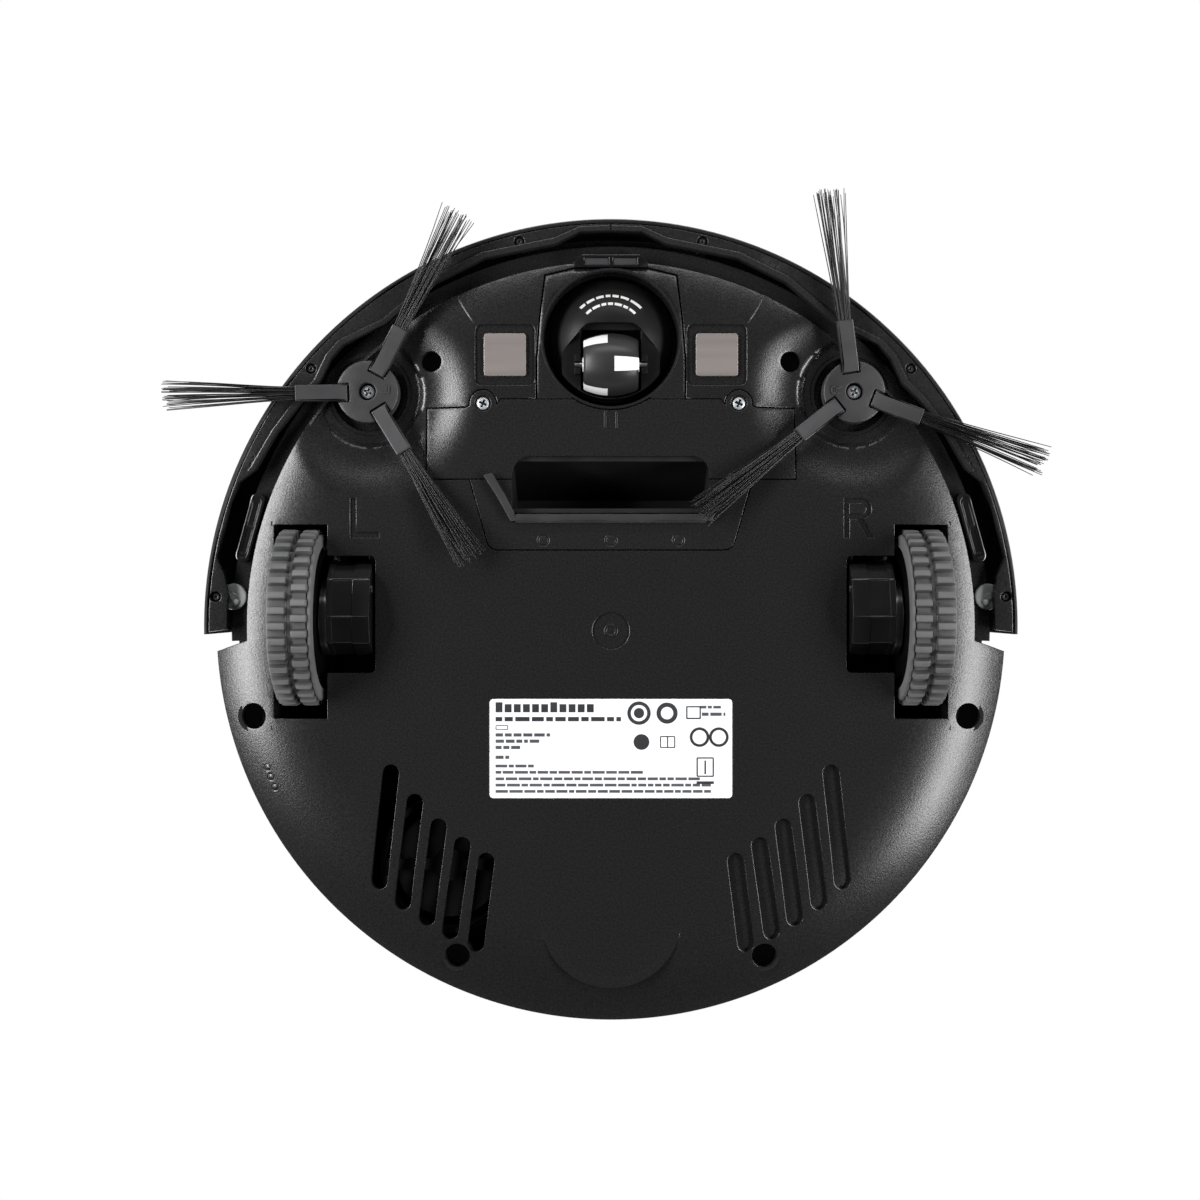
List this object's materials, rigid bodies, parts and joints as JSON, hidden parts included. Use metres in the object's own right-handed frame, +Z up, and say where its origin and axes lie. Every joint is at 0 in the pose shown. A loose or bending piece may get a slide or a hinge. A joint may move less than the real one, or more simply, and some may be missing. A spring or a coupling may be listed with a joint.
{
  "type": "robot vacuum cleaner",
  "caption": "Slim round robot vacuum seen from its underside, with side brushes, sprung drive wheels, a front caster, suction inlet, bumper and lift-out bin.",
  "frame": {"origin": "centre of the flat underside, on the face of the small boss in the centre dimple", "axes": "-Y is the driving direction, so the bumper faces -Y; +Z is up through the machine; X runs between the drive wheels, with the brush marked L on -X"},
  "size_m": [0.3263, 0.3081, 0.0981],
  "materials": {
    "shell_plastic": "satin black ABS with a fine spark texture",
    "deck_plastic": "gloss black",
    "bumper_plastic": "gloss black",
    "lip_plastic": "satin dark grey",
    "gloss_black": "polished black acetal",
    "inner_plastic": "plain black moulding",
    "brush_plastic": "matt dark grey",
    "bristle_nylon": "stiff black nylon filaments",
    "tyre_rubber": "grey moulded rubber",
    "tread_rubber": "black overmoulded rubber",
    "seal_rubber": "soft dark grey rubber",
    "white_nylon": "white acetal",
    "clear_nylon": "translucent grey nylon",
    "label_film": "white polyester label",
    "contact_nickel": "brushed warm nickel",
    "steel": "zinc plated",
    "motor_can": "drawn steel can",
    "sensor_window": "dark infrared window",
    "button_plastic": "metallised silver",
    "bin_plastic": "smoke grey translucent",
    "filter_fleece": "pleated off-white fleece",
    "battery_wrap": "blue shrink wrap over metal cells",
    "circuit_board": "green solder mask"
  },
  "bodies": {
    "chassis": {"base_shell": "shell_plastic", "upper_housing": "shell_plastic", "top_cover": "deck_plastic", "battery_cover": "shell_plastic", "squeegee_plate": "shell_plastic", "inlet_seal": "seal_rubber", "suction_duct": "inner_plastic", "caster_socket": "shell_plastic", "rating_label": "label_film", "cliff_sensor_front": "sensor_window", "battery_pack": "battery_wrap", "main_board": "circuit_board", "fan_housing": "inner_plastic", "charge_contact_left": "contact_nickel", "cliff_sensor_left": "sensor_window", "bumper_guide_left": "clear_nylon", "bumper_spring_left": "steel", "cover_screw_left": "steel", "suspension_spring_left": "steel", "brush_motor_left": "motor_can", "charge_contact_right": "contact_nickel", "cliff_sensor_right": "sensor_window", "bumper_guide_right": "clear_nylon", "bumper_spring_right": "steel", "cover_screw_right": "steel", "suspension_spring_right": "steel", "brush_motor_right": "motor_can"},
    "bumper": {"bumper_shell": "bumper_plastic", "bumper_window": "sensor_window", "bumper_lip_left": "lip_plastic", "bumper_lip_right": "lip_plastic"},
    "caster_stem": {"caster_stem": "steel"},
    "caster_fork": {"caster_fork": "gloss_black", "caster_axle": "steel"},
    "caster_wheel": {"caster_core": "white_nylon", "caster_tread": "tread_rubber"},
    "dust_bin": {"dust_bin": "bin_plastic", "bin_filter": "filter_fleece", "lid_hinge_pin": "steel"},
    "bin_lid": {"bin_lid": "deck_plastic"},
    "start_button": {"start_button": "button_plastic"},
    "power_switch": {"power_switch": "inner_plastic"},
    "fan_rotor": {"fan_rotor": "inner_plastic"},
    "drive_left": {"drive_housing_left": "gloss_black"},
    "wheel_left": {"tyre_left": "tyre_rubber", "wheel_hub_left": "inner_plastic"},
    "brush_left": {"brush_hub_left": "brush_plastic", "brush_screw_left": "steel", "bristles_left_1": "bristle_nylon", "bristles_left_2": "bristle_nylon", "bristles_left_3": "bristle_nylon"},
    "drive_right": {"drive_housing_right": "gloss_black"},
    "wheel_right": {"tyre_right": "tyre_rubber", "wheel_hub_right": "inner_plastic"},
    "brush_right": {"brush_hub_right": "brush_plastic", "brush_screw_right": "steel", "bristles_right_1": "bristle_nylon", "bristles_right_2": "bristle_nylon", "bristles_right_3": "bristle_nylon"}
  },
  "joints": [
    {"name": "bumper_push", "type": "slide", "parent": "chassis", "child": "bumper", "axis": [0, 1, 0], "range_m": [0, 0.004], "stiffness_N_per_m": 150, "springref_m": -0.003, "deforming": ["bumper_spring_left", "bumper_spring_right"]},
    {"name": "caster_pull", "type": "slide", "parent": "chassis", "child": "caster_stem", "axis": [0, 0, -1], "range_m": [0, 0.018]},
    {"name": "caster_swivel", "type": "hinge", "parent": "caster_stem", "child": "caster_fork", "pos_m": [0, -0.1055, 0.02], "axis": [0, 0, 1], "continuous": true},
    {"name": "caster_roll", "type": "hinge", "parent": "caster_fork", "child": "caster_wheel", "pos_m": [0, -0.096, 0.002], "axis": [1, 0, 0], "continuous": true},
    {"name": "bin_lift", "type": "slide", "parent": "chassis", "child": "dust_bin", "axis": [0, 0, 1], "range_m": [0, 0.06]},
    {"name": "lid_hinge", "type": "hinge", "parent": "dust_bin", "child": "bin_lid", "pos_m": [0, 0.0595, 0.0685], "axis": [-1, 0, 0], "range_deg": [0, 100]},
    {"name": "start_press", "type": "slide", "parent": "chassis", "child": "start_button", "axis": [0, 0, -1], "range_m": [0, 0.0012], "stiffness_N_per_m": 300, "springref_m": -0.001},
    {"name": "power_rock", "type": "hinge", "parent": "chassis", "child": "power_switch", "pos_m": [0.12653, 0.06728, 0.04], "axis": [0, 0, 1], "range_deg": [-20, 0]},
    {"name": "fan_spin", "type": "hinge", "parent": "chassis", "child": "fan_rotor", "pos_m": [-0.06, 0.0885, 0.015], "axis": [0, 0, 1], "continuous": true},
    {"name": "suspension_left", "type": "hinge", "parent": "chassis", "child": "drive_left", "pos_m": [-0.0955, -0.0405, 0.024], "axis": [1, 0, 0], "range_deg": [0, 26.87], "stiffness_Nm_per_rad": 0.12, "springref_deg": -25.78, "deforming": ["suspension_spring_left"]},
    {"name": "wheel_spin_left", "type": "hinge", "parent": "drive_left", "child": "wheel_left", "pos_m": [-0.1139, -0.003, 0.005], "axis": [1, 0, 0], "continuous": true},
    {"name": "brush_spin_left", "type": "hinge", "parent": "chassis", "child": "brush_left", "pos_m": [-0.0893, -0.0859, 0.002], "axis": [0, 0, 1], "continuous": true, "deforming": ["bristles_left_1", "bristles_left_2", "bristles_left_3"]},
    {"name": "suspension_right", "type": "hinge", "parent": "chassis", "child": "drive_right", "pos_m": [0.0955, -0.0405, 0.024], "axis": [1, 0, 0], "range_deg": [0, 26.87], "stiffness_Nm_per_rad": 0.12, "springref_deg": -25.78, "deforming": ["suspension_spring_right"]},
    {"name": "wheel_spin_right", "type": "hinge", "parent": "drive_right", "child": "wheel_right", "pos_m": [0.1139, -0.003, 0.005], "axis": [1, 0, 0], "continuous": true},
    {"name": "brush_spin_right", "type": "hinge", "parent": "chassis", "child": "brush_right", "pos_m": [0.0893, -0.0859, 0.002], "axis": [0, 0, 1], "continuous": true, "deforming": ["bristles_right_1", "bristles_right_2", "bristles_right_3"]}
  ]
}
